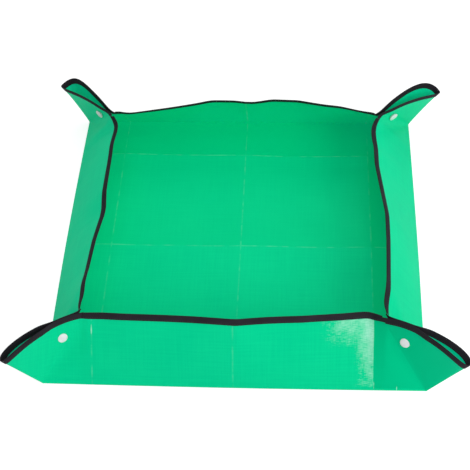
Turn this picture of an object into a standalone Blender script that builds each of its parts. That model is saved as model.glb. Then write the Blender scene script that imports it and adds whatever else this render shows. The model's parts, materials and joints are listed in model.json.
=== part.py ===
"""Repotting mat: one square sheet, bound round its edge, snapped up into a tray at its four corners.

Every panel is drawn on the flat sheet and then folded by the hinge empties that carry it: floor, wall, ear.
Turning the empties back to zero lays the same mat out flat.
"""
import math
from collections import namedtuple

import bmesh
import bpy
from mathutils import Matrix, Vector
from mathutils.geometry import intersect_line_line_2d

# Sheet
sheet_size = 0.750
sheet_thickness = 0.0005
corner_radius = 0.150

# Walls: each leans inward by its own amount, and its rim bows out (or in) midway
wall_height = 0.082
left_wall_lean = 0.056
right_wall_lean = 0.059
front_wall_lean = 0.067
back_wall_lean = 0.064
left_rim_bow = -0.012
right_rim_bow = 0.006
front_rim_bow = 0.014
back_rim_bow = 0.019
wall_belly = 0.004

# Ears: the surplus of each corner, doubled and standing out beyond the pinch
crease_foot = 0.001
front_left_ear_swing = math.radians(23)
front_right_ear_swing = math.radians(31)
back_left_ear_swing = math.radians(13)
back_right_ear_swing = math.radians(20)
front_left_ear_opening = 0.012
front_right_ear_opening = 0.018
back_left_ear_opening = 0.022
back_right_ear_opening = 0.020

# Gaps that stand for the bends of the sheet
floor_crease_gap = 0.00065
ear_crease_gap = 0.0003
outer_fold_gap = 0.0003

# Binding tape
tape_width = 0.009
tape_thickness = 0.0004
tape_clearance = 0.0003
tape_end_gap = 0.0009
tape_layer_gap = 0.0002

# Press-snaps
snap_from_edge = 0.038
snap_from_crease = 0.009
snap_seat = 0.0002
snap_face_gap = 0.0004
snap_margin = 0.0015
cap_diameter = 0.0145
cap_rim_height = 0.0008
cap_crown_height = 0.0020
post_diameter = 0.0036
post_clearance = 0.0003
socket_diameter = 0.0118
socket_height = 0.0030
socket_base_height = 0.0008
socket_collar_width = 0.0012
socket_lip_height = 0.0006
socket_lip_width = 0.0003
stud_diameter = 0.0060
stud_neck_width = 0.0003
stud_height = 0.0022
stud_clearance = 0.0003
stud_flange_diameter = 0.0115
stud_flange_height = 0.0010

# Modelling aids
cut_overrun = 0.002
weld_distance = 0.00003
smooth_angle = math.radians(35)

# Counts
wall_rows = 6
wall_columns = 20
ear_rows = 6
ear_columns = 16
turned_sides = 24
crown_steps = 4
crease_rounds = 8

half_thickness = sheet_thickness / 2
tape_slot = half_thickness + tape_clearance
tape_reach = tape_slot + tape_thickness
tape_overhang = tape_clearance + tape_thickness
outer_fold_offset = tape_reach + tape_layer_gap
snap_stack = socket_height + stud_flange_height + snap_face_gap + 2 * snap_seat
stud_neck_height = snap_face_gap + socket_lip_height + stud_clearance
hole_radius = post_diameter / 2 + post_clearance
# The swell of an ear follows t * t * (1 - t), whose peak is 4/27
swell_peak_share = 4 / 27

UP = Vector((0, 0, 1))
Wall = namedtuple("Wall", "outward lean bow")
Panel = namedtuple("Panel", "label hinge to_hinge surface edge_depth ends")

WALLS = {
    "left": Wall(Vector((-1, 0, 0)), left_wall_lean, left_rim_bow),
    "right": Wall(Vector((1, 0, 0)), right_wall_lean, right_rim_bow),
    "front": Wall(Vector((0, -1, 0)), front_wall_lean, front_rim_bow),
    "back": Wall(Vector((0, 1, 0)), back_wall_lean, back_rim_bow),
}
EARS = {
    ("front", "left"): (front_left_ear_swing, front_left_ear_opening),
    ("front", "right"): (front_right_ear_swing, front_right_ear_opening),
    ("back", "left"): (back_left_ear_swing, back_left_ear_opening),
    ("back", "right"): (back_right_ear_swing, back_right_ear_opening),
}


def wall_width(name):
    """Width of a wall on the slant, from its floor line to the sheet's edge."""
    return math.hypot(wall_height, WALLS[name].lean)


def wall_fold(name):
    """Angle by which a wall is folded up from the flat sheet."""
    return math.pi - math.atan2(wall_height, WALLS[name].lean)


floor_half = Vector((
    (sheet_size - wall_width("left") - wall_width("right")) / 2,
    (sheet_size - wall_width("front") - wall_width("back")) / 2,
    0,
))


def clear_scene():
    for old in list(bpy.data.objects):
        bpy.data.objects.remove(old, do_unlink=True)


def material(name, colour, roughness):
    made = bpy.data.materials.new(name)
    made.use_nodes = True
    shader = made.node_tree.nodes["Principled BSDF"]
    shader.inputs["Base Color"].default_value = (*colour, 1)
    shader.inputs["Roughness"].default_value = roughness
    shader.inputs["Metallic"].default_value = 0
    return made


def green_sheet(label):
    return material(label + "_green", (0.003, 0.52, 0.24), 0.45)


def black_tape(label):
    return material(label + "_black", (0.012, 0.012, 0.015), 0.75)


def white_snap(label):
    return material(label + "_white", (0.82, 0.83, 0.82), 0.30)


def add_object(name, bm, surface, hinge):
    """Makes an object from a bmesh, carried by its hinge empty."""
    bmesh.ops.recalc_face_normals(bm, faces=bm.faces)
    mesh = bpy.data.meshes.new(name)
    bm.to_mesh(mesh)
    bm.free()
    mesh.shade_smooth()
    mesh.set_sharp_from_angle(angle=smooth_angle)
    mesh.materials.append(surface)
    made = bpy.data.objects.new(name, mesh)
    bpy.context.scene.collection.objects.link(made)
    made.parent = hinge
    return made


def add_hinge(name, matrix, parent=None):
    """Adds the empty that carries a folding panel, on the line that it folds about."""
    empty = bpy.data.objects.new(name, None)
    empty.empty_display_type = "SINGLE_ARROW"
    bpy.context.scene.collection.objects.link(empty)
    empty.parent = parent
    empty.matrix_local = matrix
    return empty


def rim(skin):
    """Walks once round the border of a grid of vertices."""
    right = [row[-1] for row in skin[1:-1]]
    left = [row[0] for row in reversed(skin[1:-1])]
    return skin[0] + right + list(reversed(skin[-1])) + left


def plate_bmesh(rows):
    """Builds a closed plate of the sheet's thickness from rows of mid-surface points."""
    bm = bmesh.new()
    skins = []
    for lift in (half_thickness, -half_thickness):
        skins.append([[bm.verts.new(point + UP * lift) for point in row] for row in rows])
    for skin in skins:
        for lower, upper in zip(skin, skin[1:]):
            for column in range(len(lower) - 1):
                bm.faces.new((lower[column], lower[column + 1], upper[column + 1], upper[column]))
    top, bottom = (rim(skin) for skin in skins)
    for index in range(len(top)):
        following = (index + 1) % len(top)
        bm.faces.new((top[index], top[following], bottom[following], bottom[index]))
    return bm


def channel_bmesh(sections):
    """Skins a row of like sections into a closed channel with flat ends."""
    bm = bmesh.new()
    rings = [[bm.verts.new(point) for point in section] for section in sections]
    for ring, following in zip(rings, rings[1:]):
        for index in range(len(ring)):
            beside = (index + 1) % len(ring)
            bm.faces.new((ring[index], ring[beside], following[beside], following[index]))
    bm.faces.new(rings[0])
    bm.faces.new(rings[-1])
    return bm


def turned_bmesh(profile, touches_axis):
    """Turns an outline of (radius, height) points about the vertical axis."""
    bm = bmesh.new()
    verts = [bm.verts.new((radius, 0, height)) for radius, height in profile]
    pairs = list(zip(verts, verts[1:]))
    if not touches_axis:
        pairs.append((verts[-1], verts[0]))
    edges = [bm.edges.new(pair) for pair in pairs]
    bmesh.ops.spin(
        bm,
        geom=verts + edges,
        cent=(0, 0, 0),
        axis=UP,
        angle=math.tau,
        steps=turned_sides,
        use_merge=True,
    )
    bmesh.ops.remove_doubles(bm, verts=bm.verts, dist=weld_distance)
    return bm


class EarLayer:
    """Layout on the flat sheet of one layer of an ear, the surplus that grows from one wall.

    A place is (out, along): out from its own wall's floor line, and along past the floor corner.
    The layer runs from the crease beside its wall to the ear's outer fold, near the sheet's diagonal.
    """

    def __init__(self, own, other, swing, opening):
        self.own = own
        self.swing = swing
        self.opening = opening
        self.width = wall_width(own)
        self.other_width = wall_width(other)
        self.foot = Vector((0, -crease_foot))
        self.snap_share = 1 - snap_from_edge / self.width
        lean, other_lean = WALLS[own].lean, WALLS[other].lean
        self.other_lean = other_lean
        self.beside_middle = Vector((other_lean, -lean, 0)).normalized()
        self.middle_offset = (snap_stack + sheet_thickness) / (2 * math.cos(swing))
        self.set_crease(other_lean)

    def set_crease(self, reach):
        """Lays the crease from its foot to the sheet's edge, as far back as the reach."""
        top = Vector((self.width, -reach))
        self.crease_length = (top - self.foot).length
        self.direction = (top - self.foot).normalized()
        self.normal = Vector((-self.direction.y, self.direction.x))
        self.edge_start = self.crease_along(self.width, ear_crease_gap)

    def set_outer_fold(self, other):
        """Lays the outer fold midway between this layer's crease and the other layer's."""
        own_angle = math.atan2(self.direction.y, self.direction.x)
        other_angle = math.pi / 2 - math.atan2(other.direction.y, other.direction.x)
        bearing = (own_angle + other_angle) / 2
        self.fold_direction = Vector((math.cos(bearing), math.sin(bearing)))
        self.fold_shift = Vector((math.sin(bearing), -math.cos(bearing))) * outer_fold_gap
        self.turn_centre = Vector((self.width, self.other_width)) - Vector((corner_radius, corner_radius))
        from_centre = self.fold_shift - self.turn_centre
        middle = from_centre.dot(self.fold_direction)
        reach = -middle + math.sqrt(middle ** 2 - from_centre.length_squared + corner_radius ** 2)
        tip = from_centre + self.fold_direction * reach
        self.turn_angle = math.atan2(tip.y, tip.x)
        from_foot = tip + self.turn_centre - self.foot
        self.tip_along = from_foot.dot(self.direction)
        self.tip_away = from_foot.dot(self.normal)

    def pinch_reach(self):
        """How far back the crease meets the edge, for two layers that hold a snap between them."""
        tip_share = snap_from_crease / self.tip_away
        top_share = self.snap_share - tip_share * self.tip_along / self.crease_length
        foot_share = 1 - tip_share - top_share
        away = -self.beside_middle.y
        other_offsets = foot_share * crease_foot * away + tip_share * outer_fold_offset
        return self.other_lean + (self.middle_offset - other_offsets) / (top_share * away)

    def finish(self):
        self.apex = self.find_apex()
        self.fold = self.closing_fold()
        self.flat_share = self.snap_zone_share()

    def crease_along(self, out, clearance):
        """Place along the wall of a line beside the crease, at a distance out."""
        return self.foot.y + (clearance - out * self.normal.x) / self.normal.y

    def find_apex(self):
        """Where the layer's two straight sides would meet, close to the floor corner."""
        crease_point = self.foot + self.normal * ear_crease_gap
        return intersect_line_line_2d(
            crease_point - self.direction * self.width,
            crease_point + self.direction * self.width,
            self.fold_shift - self.fold_direction * self.width,
            self.fold_shift + self.fold_direction * self.width,
        )

    def closing_fold(self):
        """Fold about the crease that lays the outer fold beside the ear's middle plane."""
        wall_turn = Matrix.Rotation(wall_fold(self.own), 3, "Y").inverted()
        on_crease = wall_turn @ (self.foot + self.direction * self.tip_along).to_3d()
        away = wall_turn @ self.normal.to_3d()
        down = wall_turn @ -UP
        level = self.beside_middle.dot(on_crease)
        cosine = self.beside_middle.dot(away) * self.tip_away
        sine = self.beside_middle.dot(down) * self.tip_away
        slack = math.acos((outer_fold_offset - level) / math.hypot(cosine, sine))
        return math.atan2(sine, cosine) - slack

    def folded(self, place):
        """Place of the flat sheet once its wall is up and the layer is swung to rest."""
        foot = self.foot.to_3d()
        wall_turn = Matrix.Rotation(wall_fold(self.own), 3, "Y").inverted()
        turn = Matrix.Rotation(self.fold + self.swing, 3, self.normal.to_3d().cross(-UP))
        return wall_turn @ (foot + turn @ (place - foot))

    def snap_zone_share(self):
        """Share of the free edge, from the crease, over which the layer stays flat for its snap."""
        snap_distance = self.crease_length * self.snap_share
        half_width = snap_from_crease + cap_diameter / 2 + snap_margin
        own_angle = math.atan2(self.direction.y, self.direction.x)
        bearing = math.asin(half_width / snap_distance) + own_angle
        return (self.width * math.tan(bearing) - self.edge_start) / self.edge_length()

    def edge_length(self):
        return self.turn_centre.y - self.edge_start + corner_radius * self.turn_angle

    def edge_point(self, across):
        """Point of the free edge: straight from the crease, then round the sheet's corner."""
        travelled = across * self.edge_length()
        straight = self.turn_centre.y - self.edge_start
        if travelled <= straight:
            return Vector((self.width, self.edge_start + travelled))
        turn = (travelled - straight) / corner_radius
        return self.turn_centre + corner_radius * Vector((math.cos(turn), math.sin(turn)))

    def edge_depth(self, across):
        """Square distance from the apex to the free edge's tangent."""
        travelled = across * self.edge_length() - (self.turn_centre.y - self.edge_start)
        turn = max(travelled, 0) / corner_radius
        facing = Vector((math.cos(turn), math.sin(turn)))
        return (self.edge_point(across) - self.apex).dot(facing)

    def surface(self, climb, across):
        """Mid-surface point: climb from apex to free edge, across from crease to outer fold."""
        place = self.apex + (self.edge_point(across) - self.apex) * climb
        free_share = max(across - self.flat_share, 0) / (1 - self.flat_share)
        swell = free_share ** 2 * (1 - free_share) / swell_peak_share
        return Vector((*place, -self.opening / 2 * swell * climb ** 2))

    def lowest_climb(self):
        """First row: clear of the floor's own fold."""
        tip = self.edge_point(1)
        return (floor_crease_gap - self.apex.x) / (tip.x - self.apex.x)

    def snap_place(self):
        """Centre of a snap on the flat sheet, beside the crease."""
        on_crease = self.foot + self.direction * self.crease_length * self.snap_share
        return (on_crease + self.normal * snap_from_crease).to_3d()


def snap_span(side_layer, end_layer):
    """Distance between two folded layers along the line of their snap."""
    start = side_layer.folded(side_layer.snap_place())
    heading = side_layer.folded(side_layer.snap_place() + UP) - start
    origin, ahead, beside = (
        end_layer.folded(place).yxz for place in (Vector((0, 0, 0)), Vector((1, 0, 0)), Vector((0, 1, 0)))
    )
    facing = (ahead - origin).cross(beside - origin)
    return (origin - start).dot(facing) / heading.dot(facing)


def ear_layers(corner):
    """Lays out a corner's two layers, first that of its side wall, then that of its end wall."""
    end, side = corner
    swing, opening = EARS[corner]
    layers = (EarLayer(side, end, swing, opening), EarLayer(end, side, -swing, opening))
    for layer, other in (layers, layers[::-1]):
        layer.set_outer_fold(other)
    for _ in range(crease_rounds):
        for layer in layers:
            layer.set_crease(layer.pinch_reach())
        for layer, other in (layers, layers[::-1]):
            layer.set_outer_fold(other)
            layer.finish()
        shortfall = snap_stack + sheet_thickness - snap_span(*layers)
        for layer in layers:
            layer.middle_offset += shortfall / 2
    return layers


def wall_panel(name, ears):
    """Sets out one wall, with the layer of ear at each of its ends."""
    wall = WALLS[name]
    run = UP.cross(wall.outward)
    pivot = wall.outward * abs(wall.outward.dot(floor_half)) + UP * half_thickness
    turn = Matrix.Rotation(wall_fold(name), 4, wall.outward.cross(UP))
    hinge = add_hinge(name + "_wall_hinge", Matrix.Translation(pivot) @ turn)
    half_run = abs(run.dot(floor_half))
    depth = wall_width(name) - floor_crease_gap
    first, last = ears

    def surface(climb, across):
        out = floor_crease_gap + climb * depth
        start = -half_run - first.crease_along(out, -ear_crease_gap)
        end = half_run + last.crease_along(out, -ear_crease_gap)
        belly = wall_belly * math.sin(math.pi * climb) + wall.bow * climb
        return Vector((out, start + across * (end - start), -belly * math.sin(math.pi * across) ** 2))

    def to_hinge(place):
        return wall.outward * place.x + run * place.y + UP * place.z

    def edge_depth(_across):
        return depth

    return Panel(name + "_wall", hinge, to_hinge, surface, edge_depth, (tape_end_gap, tape_end_gap))


def ear_panel(corner, layer, wall):
    """Sets out the layer of a corner's ear that grows from one wall."""
    outward = WALLS[layer.own].outward
    beside = WALLS[corner[0]].outward + WALLS[corner[1]].outward - outward
    to_wall = Matrix((outward, beside, UP)).transposed()
    corner_place = beside * abs(beside.dot(floor_half))
    pivot = corner_place + to_wall @ layer.foot.to_3d()
    fold_axis = (to_wall @ layer.normal.to_3d()).cross(-UP)
    label = "_".join(corner) + ("_ear_end" if layer.own == corner[0] else "_ear_side")
    turn = Matrix.Rotation(layer.fold + layer.swing, 4, fold_axis)
    hinge = add_hinge(label + "_hinge", Matrix.Translation(pivot) @ turn, wall.hinge)

    def to_hinge(place):
        return corner_place + to_wall @ place - pivot

    return Panel(label, hinge, to_hinge, layer.surface, layer.edge_depth, (tape_end_gap, 0))


def add_floor():
    half_x = floor_half.x - floor_crease_gap
    half_y = floor_half.y - floor_crease_gap
    rows = [[Vector((x, y, half_thickness)) for x in (-half_x, half_x)] for y in (-half_y, half_y)]
    return add_object("floor_panel", plate_bmesh(rows), green_sheet("floor"), None)


def add_sheet(panel, lowest, rows, columns):
    """Makes a panel whose last row of faces is as deep as the tape that covers it."""
    points = []
    for row in range(rows + 1):
        line = []
        for column in range(columns + 1):
            across = column / columns
            taped = 1 - tape_width / panel.edge_depth(across)
            climb = lowest + (taped - lowest) * row / (rows - 1) if row < rows else 1
            line.append(panel.to_hinge(panel.surface(climb, across)))
        points.append(line)
    return add_object(panel.label + "_panel", plate_bmesh(points), green_sheet(panel.label), panel.hinge)


def add_binding(panel, columns):
    """Folds a length of tape round the panel's free edge."""
    outline = [
        (-tape_overhang, -tape_reach),
        (tape_width, -tape_reach),
        (tape_width, -tape_slot),
        (-tape_clearance, -tape_slot),
        (-tape_clearance, tape_slot),
        (tape_width, tape_slot),
        (tape_width, tape_reach),
        (-tape_overhang, tape_reach),
    ]
    edge_run = sum(
        (panel.surface(1, (i + 1) / columns) - panel.surface(1, i / columns)).length for i in range(columns)
    )
    start, end = (gap / edge_run for gap in panel.ends)
    sections = []
    for column in range(columns + 1):
        across = min(max(column / columns, start), 1 - end)
        depth = panel.edge_depth(across)
        section = []
        for inward, lift in outline:
            place = panel.surface(1 - inward / depth, across)
            section.append(panel.to_hinge(place + UP * lift))
        sections.append(section)
    tape = channel_bmesh(sections)
    return add_object(panel.label + "_binding", tape, black_tape(panel.label), panel.hinge)


def add_turned(name, profile, touches_axis, place, hinge):
    made = add_object(name, turned_bmesh(profile, touches_axis), white_snap(name), hinge)
    made.location = place
    return made


def cut_hole(sheet, place):
    """Cuts the hole that a snap's post passes through."""
    bm = bmesh.new()
    bmesh.ops.create_cone(
        bm,
        cap_ends=True,
        segments=turned_sides,
        radius1=hole_radius,
        radius2=hole_radius,
        depth=sheet_thickness + 2 * cut_overrun,
    )
    cutter = add_object(sheet.name + "_hole_cutter", bm, white_snap(sheet.name + "_cutter"), sheet.parent)
    cutter.location = place
    cutter.display_type = "WIRE"
    cutter.hide_render = True
    hole = sheet.modifiers.new("snap_hole", "BOOLEAN")
    hole.operation = "DIFFERENCE"
    hole.object = cutter


def cap_profile():
    """Domed cap under the sheet, with the post that passes through it."""
    radius = cap_diameter / 2
    post_radius = post_diameter / 2
    post_top = 2 * snap_seat + sheet_thickness + socket_base_height
    profile = [(0, post_top), (post_radius, post_top), (post_radius, 0), (radius, 0)]
    for step in range(crown_steps + 1):
        turn = math.pi / 2 * step / crown_steps
        fall = cap_rim_height + (cap_crown_height - cap_rim_height) * math.sin(turn)
        profile.append((radius * math.cos(turn) if step < crown_steps else 0, -fall))
    return profile


def socket_profile():
    """Ring with a collar whose lip grips the stud."""
    cavity = stud_diameter / 2 + stud_clearance
    collar = cavity + socket_collar_width
    shoulder = socket_diameter / 2
    lip_start = socket_height - socket_lip_height
    return [
        (hole_radius, 0),
        (shoulder, 0),
        (shoulder, socket_base_height),
        (collar, (socket_base_height + lip_start) / 2),
        (collar, socket_height),
        (cavity - socket_lip_width, socket_height),
        (cavity - socket_lip_width, lip_start),
        (cavity, lip_start - socket_lip_width),
        (cavity, socket_base_height),
        (hole_radius, socket_base_height),
    ]


def stud_profile():
    """Flange with the necked stud that snaps into the socket."""
    radius = stud_diameter / 2
    neck = radius - stud_neck_width
    neck_top = stud_flange_height + stud_neck_height
    top = stud_flange_height + stud_height
    return [
        (hole_radius, 0),
        (stud_flange_diameter / 2, 0),
        (stud_flange_diameter / 2, stud_flange_height),
        (neck, stud_flange_height),
        (neck, neck_top),
        (radius, neck_top + stud_neck_width),
        (radius, top - stud_neck_width),
        (neck, top),
        (hole_radius, top),
    ]


def add_snap(corner, side_panel, end_panel, side_sheet, end_sheet, side_layer):
    """Fits the socket half on the side wall's layer and the stud half, in line, on the other."""
    name = "_".join(corner)
    bpy.context.view_layer.update()
    socket_place = side_panel.to_hinge(side_layer.snap_place())
    to_end = end_panel.hinge.matrix_world.inverted() @ side_panel.hinge.matrix_world
    start = to_end @ socket_place
    heading = to_end.to_3x3() @ UP
    stud_place = start - heading * (start.z / heading.z)
    seat = UP * (half_thickness + snap_seat)
    halves = (
        ("socket", socket_profile(), socket_place, side_panel, side_sheet),
        ("stud", stud_profile(), stud_place, end_panel, end_sheet),
    )
    for part, profile, place, panel, sheet in halves:
        add_turned(name + "_snap_" + part, profile, False, place + seat, panel.hinge)
        add_turned(name + "_snap_" + part + "_cap", cap_profile(), True, place - seat, panel.hinge)
        cut_hole(sheet, place)


def build():
    clear_scene()
    add_floor()
    layers = {corner: ear_layers(corner) for corner in EARS}
    wall_ends = {
        "left": (layers["back", "left"][0], layers["front", "left"][0]),
        "right": (layers["front", "right"][0], layers["back", "right"][0]),
        "front": (layers["front", "left"][1], layers["front", "right"][1]),
        "back": (layers["back", "right"][1], layers["back", "left"][1]),
    }
    walls = {}
    for name, ends in wall_ends.items():
        walls[name] = wall_panel(name, ends)
        add_sheet(walls[name], 0, wall_rows, wall_columns)
        add_binding(walls[name], wall_columns)
    for corner, pair in layers.items():
        panels = [ear_panel(corner, layer, walls[layer.own]) for layer in pair]
        sheets = []
        for panel, layer in zip(panels, pair):
            sheets.append(add_sheet(panel, layer.lowest_climb(), ear_rows, ear_columns))
            add_binding(panel, ear_columns)
        add_snap(corner, *panels, *sheets, pair[0])


build()
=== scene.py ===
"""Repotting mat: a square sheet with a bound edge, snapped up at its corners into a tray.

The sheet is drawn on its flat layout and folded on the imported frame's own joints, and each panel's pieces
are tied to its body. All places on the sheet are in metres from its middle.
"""
import json
import math

import bpy
import numpy as np
from bpy.props import FloatProperty, FloatVectorProperty, PointerProperty
from mathutils import Matrix, Vector


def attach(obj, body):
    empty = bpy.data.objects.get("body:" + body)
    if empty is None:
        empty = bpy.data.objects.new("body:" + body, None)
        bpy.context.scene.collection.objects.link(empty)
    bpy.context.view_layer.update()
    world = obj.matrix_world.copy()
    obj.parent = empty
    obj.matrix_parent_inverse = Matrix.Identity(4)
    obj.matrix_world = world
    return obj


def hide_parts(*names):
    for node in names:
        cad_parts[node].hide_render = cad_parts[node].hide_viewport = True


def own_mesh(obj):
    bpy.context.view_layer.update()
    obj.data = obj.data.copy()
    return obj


bl_info = {
    "name": "Repotting Mat",
    "version": (1, 0, 0),
    "blender": (4, 5, 0),
    "location": "View3D > Sidebar > Repotting Mat",
    "description": "Folds a bound square sheet into a snapped tray on its packed frame",
    "category": "Object",
}

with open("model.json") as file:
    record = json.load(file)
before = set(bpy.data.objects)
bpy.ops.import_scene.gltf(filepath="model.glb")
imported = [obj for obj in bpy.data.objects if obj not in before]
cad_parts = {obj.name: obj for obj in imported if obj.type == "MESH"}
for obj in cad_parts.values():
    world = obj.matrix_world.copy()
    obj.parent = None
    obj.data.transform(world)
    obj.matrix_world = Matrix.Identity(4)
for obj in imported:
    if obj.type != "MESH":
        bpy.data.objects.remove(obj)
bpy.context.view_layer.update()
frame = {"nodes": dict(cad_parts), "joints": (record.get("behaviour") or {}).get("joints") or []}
joints = {joint["name"]: joint for joint in frame["joints"]}

# The flat sheet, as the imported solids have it
WALL_HEIGHT = 0.082
CORNER_RADIUS = 0.150
HALF_THICKNESS = 0.00025

# Least length that anything is divided by
TINY = 1e-12

# Where the sheet was folded in its pack, across x and across y
PACK_FOLDS = ((-0.203, 0.0, 0.203), (-0.200, -0.010, 0.188))

OUTWARD = {
    "left": Vector((-1, 0, 0)),
    "right": Vector((1, 0, 0)),
    "front": Vector((0, -1, 0)),
    "back": Vector((0, 1, 0)),
}
CORNERS = (("front", "left"), ("front", "right"), ("back", "left"), ("back", "right"))
UP = Vector((0, 0, 1))


def wall_fold_angle(name):
    return math.radians(joints[name + "_wall_unfold"]["range_deg"][1])


def edge_from_middle(name):
    """Distance on the flat sheet from the floor's middle to the edge beyond a wall."""
    foot = abs(Vector(joints[name + "_wall_unfold"]["pos_m"]).dot(OUTWARD[name]))
    return foot + WALL_HEIGHT / math.sin(wall_fold_angle(name))


SHEET_EDGE = {name: edge_from_middle(name) for name in OUTWARD}
FLOOR_HALF = np.abs([joints["left_wall_unfold"]["pos_m"][0], joints["front_wall_unfold"]["pos_m"][1]])


class SheetSettings(bpy.types.PropertyGroup):
    """Sizes and colour of the green sheet."""

    colour: FloatVectorProperty(
        name="Colour",
        description="Green of the coated sheet",
        subtype="COLOR",
        size=3,
        min=0,
        max=1,
        default=(0.0, 0.62, 0.262),
    )
    weave_pitch: FloatProperty(
        name="Weave pitch",
        description="Width of one woven strip under the coating",
        unit="LENGTH",
        default=0.0024,
    )
    face_length: FloatProperty(
        name="Face length",
        description="Side of a mesh face on the walls and the floor",
        unit="LENGTH",
        default=0.0035,
    )
    ripple_depth: FloatProperty(
        name="Ripple depth",
        description="Depth of the soft unevenness of the walls",
        unit="LENGTH",
        default=0.0012,
    )
    fold_depth: FloatProperty(
        name="Pack fold depth",
        description="Height by which the old pack folds stand up from the floor",
        unit="LENGTH",
        default=0.0016,
    )


class TapeSettings(bpy.types.PropertyGroup):
    """Sizes and colour of the binding tape."""

    colour: FloatVectorProperty(
        name="Colour",
        description="Colour of the woven binding tape",
        subtype="COLOR",
        size=3,
        min=0,
        max=1,
        default=(0.011, 0.009, 0.013),
    )
    width: FloatProperty(
        name="Width",
        description="Width of the tape on each face of the sheet",
        unit="LENGTH",
        default=0.0090,
    )
    thickness: FloatProperty(
        name="Thickness",
        description="Thickness of one layer of tape",
        unit="LENGTH",
        default=0.00045,
    )
    stitch_pitch: FloatProperty(
        name="Stitch pitch",
        description="Length of one stitch of the seam",
        unit="LENGTH",
        default=0.0032,
    )


class SnapSettings(bpy.types.PropertyGroup):
    """Colour of the press-snaps."""

    colour: FloatVectorProperty(
        name="Colour",
        description="White of the moulded snaps",
        subtype="COLOR",
        size=3,
        min=0,
        max=1,
        default=(0.84, 0.85, 0.86),
    )


class StageSettings(bpy.types.PropertyGroup):
    """Light and ground under the mat."""

    ground_colour: FloatVectorProperty(
        name="Ground colour",
        description="Colour of the pale ground",
        subtype="COLOR",
        size=3,
        min=0,
        max=1,
        default=(0.82, 0.82, 0.82),
    )
    sky_strength: FloatProperty(
        name="Sky strength",
        description="Strength of the even light from all round",
        default=0.45,
    )
    ground_size: FloatProperty(
        name="Ground size",
        description="Side of the ground plane",
        unit="LENGTH",
        default=12.0,
    )


class Wire:
    """A shader socket that takes part in Python sums: each operation adds its Math node."""

    def __init__(self, board, socket):
        self.board = board
        self.socket = socket

    def maths(self, operation, *terms):
        return self.board.node("ShaderNodeMath", {"operation": operation}, terms)

    def __add__(self, other):
        return self.maths("ADD", self, other)

    def __radd__(self, other):
        return self.maths("ADD", other, self)

    def __sub__(self, other):
        return self.maths("SUBTRACT", self, other)

    def __rsub__(self, other):
        return self.maths("SUBTRACT", other, self)

    def __mul__(self, other):
        return self.maths("MULTIPLY", self, other)

    def __rmul__(self, other):
        return self.maths("MULTIPLY", other, self)

    def __abs__(self):
        return self.maths("ABSOLUTE", self)

    def sine(self):
        return self.maths("SINE", self)

    def least(self, other):
        return self.maths("MINIMUM", self, other)

    def most(self, other):
        return self.maths("MAXIMUM", self, other)

    def span(self, low, high, smooth=True):
        """Goes from 0 to 1 as the value goes from low to high."""
        kind = {"interpolation_type": "SMOOTHSTEP" if smooth else "LINEAR"}
        sockets = {"Value": self, "From Min": low, "From Max": high}
        return self.board.node("ShaderNodeMapRange", kind, sockets)


class Board:
    """The node tree of one material, with its Principled shader."""

    def __init__(self, name):
        self.material = bpy.data.materials.new(name)
        self.material.use_nodes = True
        self.tree = self.material.node_tree
        self.shader = self.tree.nodes["Principled BSDF"]

    def plug(self, socket, value):
        if isinstance(value, Wire):
            self.tree.links.new(value.socket, socket)
        else:
            socket.default_value = value

    def node(self, kind, settings, sockets, output=0):
        """Adds a node, sets it, then fills its sockets with values or wires."""
        made = self.tree.nodes.new(kind)
        for setting, value in settings.items():
            setattr(made, setting, value)
        entries = sockets.items() if isinstance(sockets, dict) else enumerate(sockets)
        for key, value in entries:
            self.plug(made.inputs[key], value)
        return Wire(self, made.outputs[output])

    def attribute(self, name):
        """A point attribute as a vector, and its three numbers."""
        place = self.node("ShaderNodeAttribute", {"attribute_name": name}, (), "Vector")
        split = self.node("ShaderNodeSeparateXYZ", {}, (place,))
        outputs = split.socket.node.outputs
        return place, [Wire(self, outputs[index]) for index in range(3)]

    def noise(self, place, grain, detail=2.0):
        """Soft noise from 0 to 1 about a half. Its grain is one number, or one for each axis."""
        if isinstance(grain, tuple):
            place = self.node("ShaderNodeVectorMath", {"operation": "MULTIPLY"}, (place, grain))
            grain = 1.0
        sockets = {"Vector": place, "Scale": grain, "Detail": detail}
        return self.node("ShaderNodeTexNoise", {"noise_dimensions": "3D"}, sockets, "Fac")

    def blend_colours(self, factor, first, second):
        mix = self.node("ShaderNodeMix", {"data_type": "RGBA"}, ())
        made = mix.socket.node
        self.plug(made.inputs["Factor"], factor)
        for name, value in (("A", first), ("B", second)):
            socket = next(s for s in made.inputs if s.name == name and s.type == "RGBA")
            self.plug(socket, value if isinstance(value, Wire) else (*value, 1))
        return Wire(self, next(s for s in made.outputs if s.type == "RGBA"))

    def surface(self, **sockets):
        """Fills the shader's own sockets: with a wire, or with a value that is the same all over."""
        for name, value in sockets.items():
            label = name.replace("_", " ").title().replace("Ior", "IOR")
            self.plug(self.shader.inputs[label], value)

    def bump(self, height, distance, strength):
        sockets = {"Height": height, "Distance": distance, "Strength": strength}
        self.plug(self.shader.inputs["Normal"], self.node("ShaderNodeBump", {}, sockets))


# How far each fold across y turns the green beyond it yellower, and the strip beyond the right fold
YELLOWING = (0.15, 0.30, 0.45)
STRIP_YELLOWING = 0.6
YELLOWING_STEP = 0.002

# Bands near the floor's edges, across x and across y, in which what is on the floor alone fades out
FLOOR_END = ((0.268, 0.276), (0.262, 0.270))

# Grain of the green's noises, per metre of the sheet
STRIPS_ALONG_Y = (420, 14, 1)
STRIPS_ALONG_X = (14, 420, 1)
FINE_STRIPS_ALONG_Y = (1100, 90, 1)
FINE_STRIPS_ALONG_X = (130, 1100, 1)
RUB_GRAIN = (60, 60, 1)
CLOUD_GRAIN = 9.0
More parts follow.
